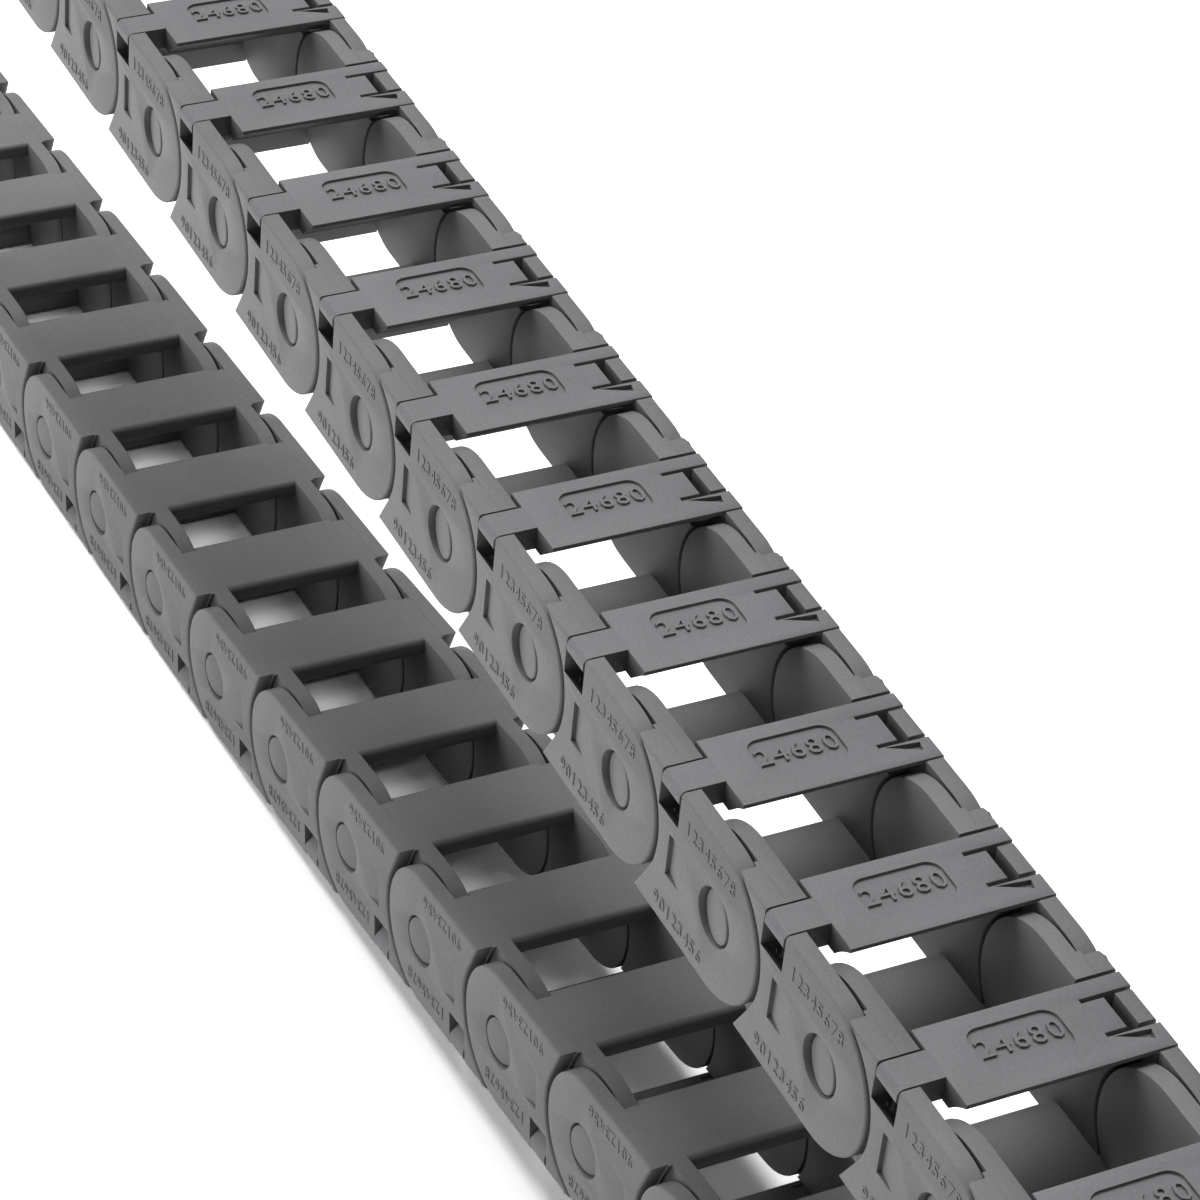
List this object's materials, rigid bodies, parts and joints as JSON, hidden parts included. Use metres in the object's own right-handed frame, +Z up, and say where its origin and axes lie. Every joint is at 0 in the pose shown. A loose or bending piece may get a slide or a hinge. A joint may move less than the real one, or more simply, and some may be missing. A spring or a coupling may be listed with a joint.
{
  "type": "cable drag chain",
  "caption": "Plastic cable drag chain laid in a U, with hinged links, snap lids over a rectangular cable channel and a screw bracket at each end",
  "frame": {"origin": "middle of the two screw holes on the underside of the fixed end bracket", "axes": "X along the runs towards the bend, Y across the chain, Z up"},
  "size_m": [0.3499, 0.0226, 0.0767],
  "materials": {
    "link_plastic": "fine grained",
    "lid_plastic": "fine grained",
    "bracket_plastic": "fine grained"
  },
  "bodies": {
    "fixed_bracket": {"fixed_bracket": "bracket_plastic"},
    "link_32": {"link_32": "link_plastic"},
    "link_31": {"link_31": "link_plastic"},
    "link_30": {"link_30": "link_plastic"},
    "link_29": {"link_29": "link_plastic"},
    "link_28": {"link_28": "link_plastic"},
    "link_27": {"link_27": "link_plastic"},
    "link_26": {"link_26": "link_plastic"},
    "link_25": {"link_25": "link_plastic"},
    "link_24": {"link_24": "link_plastic"},
    "link_23": {"link_23": "link_plastic"},
    "link_22": {"link_22": "link_plastic"},
    "link_21": {"link_21": "link_plastic"},
    "link_20": {"link_20": "link_plastic"},
    "link_19": {"link_19": "link_plastic"},
    "link_18": {"link_18": "link_plastic"},
    "link_17": {"link_17": "link_plastic"},
    "link_16": {"link_16": "link_plastic"},
    "link_15": {"link_15": "link_plastic"},
    "link_14": {"link_14": "link_plastic"},
    "link_13": {"link_13": "link_plastic"},
    "link_12": {"link_12": "link_plastic"},
    "link_11": {"link_11": "link_plastic"},
    "link_10": {"link_10": "link_plastic"},
    "link_09": {"link_09": "link_plastic"},
    "link_08": {"link_08": "link_plastic"},
    "link_07": {"link_07": "link_plastic"},
    "link_06": {"link_06": "link_plastic"},
    "link_05": {"link_05": "link_plastic"},
    "link_04": {"link_04": "link_plastic"},
    "link_03": {"link_03": "link_plastic"},
    "link_02": {"link_02": "link_plastic"},
    "link_01": {"link_01": "link_plastic"},
    "moving_bracket": {"moving_bracket": "bracket_plastic"},
    "lid_14": {"lid_14": "lid_plastic"},
    "lid_13": {"lid_13": "lid_plastic"},
    "lid_12": {"lid_12": "lid_plastic"},
    "lid_11": {"lid_11": "lid_plastic"},
    "lid_10": {"lid_10": "lid_plastic"},
    "lid_09": {"lid_09": "lid_plastic"},
    "lid_08": {"lid_08": "lid_plastic"},
    "lid_07": {"lid_07": "lid_plastic"},
    "lid_06": {"lid_06": "lid_plastic"},
    "lid_05": {"lid_05": "lid_plastic"},
    "lid_04": {"lid_04": "lid_plastic"},
    "lid_03": {"lid_03": "lid_plastic"},
    "lid_02": {"lid_02": "lid_plastic"},
    "lid_01": {"lid_01": "lid_plastic"}
  },
  "joints": [
    {"name": "pin_33", "type": "hinge", "parent": "fixed_bracket", "child": "link_32", "pos_m": [0.016, 0, 0.0073], "axis": [0, 1, 0], "range_deg": [-60, 0]},
    {"name": "pin_32", "type": "hinge", "parent": "link_32", "child": "link_31", "pos_m": [0.034, 0, 0.0073], "axis": [0, 1, 0], "range_deg": [-60, 0]},
    {"name": "pin_31", "type": "hinge", "parent": "link_31", "child": "link_30", "pos_m": [0.052, 0, 0.0073], "axis": [0, 1, 0], "range_deg": [-30, 0]},
    {"name": "pin_30", "type": "hinge", "parent": "link_30", "child": "link_29", "pos_m": [0.07, 0, 0.0073], "axis": [0, 1, 0], "range_deg": [-12, 0]},
    {"name": "pin_29", "type": "hinge", "parent": "link_29", "child": "link_28", "pos_m": [0.088, 0, 0.0073], "axis": [0, 1, 0], "range_deg": [-12, 0]},
    {"name": "pin_28", "type": "hinge", "parent": "link_28", "child": "link_27", "pos_m": [0.106, 0, 0.0073], "axis": [0, 1, 0], "range_deg": [-12, 0]},
    {"name": "pin_27", "type": "hinge", "parent": "link_27", "child": "link_26", "pos_m": [0.124, 0, 0.0073], "axis": [0, 1, 0], "range_deg": [-12, 0]},
    {"name": "pin_26", "type": "hinge", "parent": "link_26", "child": "link_25", "pos_m": [0.142, 0, 0.0073], "axis": [0, 1, 0], "range_deg": [-12, 0.6]},
    {"name": "pin_25", "type": "hinge", "parent": "link_25", "child": "link_24", "pos_m": [0.16, 0, 0.00749], "axis": [0, 1, 0], "range_deg": [-12, 2.2]},
    {"name": "pin_24", "type": "hinge", "parent": "link_24", "child": "link_23", "pos_m": [0.17798, 0, 0.00837], "axis": [0, 1, 0], "range_deg": [-12, 0.6]},
    {"name": "pin_23", "type": "hinge", "parent": "link_23", "child": "link_22", "pos_m": [0.19595, 0, 0.00944], "axis": [0, 1, 0], "range_deg": [-12, 0]},
    {"name": "pin_22", "type": "hinge", "parent": "link_22", "child": "link_21", "pos_m": [0.21391, 0, 0.0105], "axis": [0, 1, 0], "range_deg": [-12, 0]},
    {"name": "pin_21", "type": "hinge", "parent": "link_21", "child": "link_20", "pos_m": [0.23188, 0, 0.01157], "axis": [0, 1, 0], "range_deg": [-12, 0]},
    {"name": "pin_20", "type": "hinge", "parent": "link_20", "child": "link_19", "pos_m": [0.24985, 0, 0.01264], "axis": [0, 1, 0], "range_deg": [-12, 0]},
    {"name": "pin_19", "type": "hinge", "parent": "link_19", "child": "link_18", "pos_m": [0.26782, 0, 0.01371], "axis": [0, 1, 0], "range_deg": [-12, 0]},
    {"name": "pin_18", "type": "hinge", "parent": "link_18", "child": "link_17", "pos_m": [0.28579, 0, 0.01477], "axis": [0, 1, 0], "range_deg": [-11, 0]},
    {"name": "pin_17", "type": "hinge", "parent": "link_17", "child": "link_16", "pos_m": [0.30376, 0, 0.01584], "axis": [0, 1, 0], "range_deg": [-10, 0]},
    {"name": "pin_16", "type": "hinge", "parent": "link_16", "child": "link_15", "pos_m": [0.32172, 0, 0.01691], "axis": [0, -1, 0], "range_deg": [-53.4, 6.6]},
    {"name": "pin_15", "type": "hinge", "parent": "link_15", "child": "link_14", "pos_m": [0.33158, 0, 0.03197], "axis": [0, -1, 0], "range_deg": [-59, 1]},
    {"name": "pin_14", "type": "hinge", "parent": "link_14", "child": "link_13", "pos_m": [0.32375, 0, 0.04818], "axis": [0, -1, 0], "range_deg": [-59, 1]},
    {"name": "pin_13", "type": "hinge", "parent": "link_13", "child": "link_12", "pos_m": [0.30582, 0, 0.04981], "axis": [0, 1, 0], "range_deg": [-10, 0]},
    {"name": "pin_12", "type": "hinge", "parent": "link_12", "child": "link_11", "pos_m": [0.28789, 0, 0.05144], "axis": [0, 1, 0], "range_deg": [-11, 0]},
    {"name": "pin_11", "type": "hinge", "parent": "link_11", "child": "link_10", "pos_m": [0.26997, 0, 0.05307], "axis": [0, 1, 0], "range_deg": [-12, 0]},
    {"name": "pin_10", "type": "hinge", "parent": "link_10", "child": "link_09", "pos_m": [0.25204, 0, 0.0547], "axis": [0, 1, 0], "range_deg": [-12, 0]},
    {"name": "pin_09", "type": "hinge", "parent": "link_09", "child": "link_08", "pos_m": [0.23412, 0, 0.05633], "axis": [0, 1, 0], "range_deg": [-12, 0]},
    {"name": "pin_08", "type": "hinge", "parent": "link_08", "child": "link_07", "pos_m": [0.21619, 0, 0.05796], "axis": [0, 1, 0], "range_deg": [-12, 0]},
    {"name": "pin_07", "type": "hinge", "parent": "link_07", "child": "link_06", "pos_m": [0.19826, 0, 0.0596], "axis": [0, 1, 0], "range_deg": [-12, 0]},
    {"name": "pin_06", "type": "hinge", "parent": "link_06", "child": "link_05", "pos_m": [0.18034, 0, 0.06123], "axis": [0, 1, 0], "range_deg": [-12, 0]},
    {"name": "pin_05", "type": "hinge", "parent": "link_05", "child": "link_04", "pos_m": [0.16241, 0, 0.06286], "axis": [0, 1, 0], "range_deg": [-12, 0]},
    {"name": "pin_04", "type": "hinge", "parent": "link_04", "child": "link_03", "pos_m": [0.14449, 0, 0.06449], "axis": [0, 1, 0], "range_deg": [-12, 0]},
    {"name": "pin_03", "type": "hinge", "parent": "link_03", "child": "link_02", "pos_m": [0.12656, 0, 0.06612], "axis": [0, 1, 0], "range_deg": [-30, 0]},
    {"name": "pin_02", "type": "hinge", "parent": "link_02", "child": "link_01", "pos_m": [0.10863, 0, 0.06775], "axis": [0, 1, 0], "range_deg": [-60, 0]},
    {"name": "pin_01", "type": "hinge", "parent": "link_01", "child": "moving_bracket", "pos_m": [0.09071, 0, 0.06938], "axis": [0, 1, 0], "range_deg": [-54.8, 5.2]},
    {"name": "lid_hinge_14", "type": "hinge", "parent": "link_14", "child": "lid_14", "pos_m": [0.33327, -0.0103, 0.04261], "axis": [0.4352, 0, -0.9003], "range_deg": [0, 110]},
    {"name": "lid_hinge_13", "type": "hinge", "parent": "link_13", "child": "lid_13", "pos_m": [0.31549, -0.0103, 0.0551], "axis": [0.9959, 0, -0.0906], "range_deg": [0, 110]},
    {"name": "lid_hinge_12", "type": "hinge", "parent": "link_12", "child": "lid_12", "pos_m": [0.29756, -0.0103, 0.05673], "axis": [0.9959, 0, -0.0906], "range_deg": [0, 110]},
    {"name": "lid_hinge_11", "type": "hinge", "parent": "link_11", "child": "lid_11", "pos_m": [0.27964, -0.0103, 0.05837], "axis": [0.9959, 0, -0.0906], "range_deg": [0, 110]},
    {"name": "lid_hinge_10", "type": "hinge", "parent": "link_10", "child": "lid_10", "pos_m": [0.26171, -0.0103, 0.06], "axis": [0.9959, 0, -0.0906], "range_deg": [0, 110]},
    {"name": "lid_hinge_09", "type": "hinge", "parent": "link_09", "child": "lid_09", "pos_m": [0.24379, -0.0103, 0.06163], "axis": [0.9959, 0, -0.0906], "range_deg": [0, 110]},
    {"name": "lid_hinge_08", "type": "hinge", "parent": "link_08", "child": "lid_08", "pos_m": [0.22586, -0.0103, 0.06326], "axis": [0.9959, 0, -0.0906], "range_deg": [0, 110]},
    {"name": "lid_hinge_07", "type": "hinge", "parent": "link_07", "child": "lid_07", "pos_m": [0.20793, -0.0103, 0.06489], "axis": [0.9959, 0, -0.0906], "range_deg": [0, 110]},
    {"name": "lid_hinge_06", "type": "hinge", "parent": "link_06", "child": "lid_06", "pos_m": [0.19001, -0.0103, 0.06652], "axis": [0.9959, 0, -0.0906], "range_deg": [0, 110]},
    {"name": "lid_hinge_05", "type": "hinge", "parent": "link_05", "child": "lid_05", "pos_m": [0.17208, -0.0103, 0.06815], "axis": [0.9959, 0, -0.0906], "range_deg": [0, 110]},
    {"name": "lid_hinge_04", "type": "hinge", "parent": "link_04", "child": "lid_04", "pos_m": [0.15416, -0.0103, 0.06978], "axis": [0.9959, 0, -0.0906], "range_deg": [0, 110]},
    {"name": "lid_hinge_03", "type": "hinge", "parent": "link_03", "child": "lid_03", "pos_m": [0.13623, -0.0103, 0.07142], "axis": [0.9959, 0, -0.0906], "range_deg": [0, 110]},
    {"name": "lid_hinge_02", "type": "hinge", "parent": "link_02", "child": "lid_02", "pos_m": [0.1183, -0.0103, 0.07305], "axis": [0.9959, 0, -0.0906], "range_deg": [0, 110]},
    {"name": "lid_hinge_01", "type": "hinge", "parent": "link_01", "child": "lid_01", "pos_m": [0.10038, -0.0103, 0.07468], "axis": [0.9959, 0, -0.0906], "range_deg": [0, 110]}
  ]
}
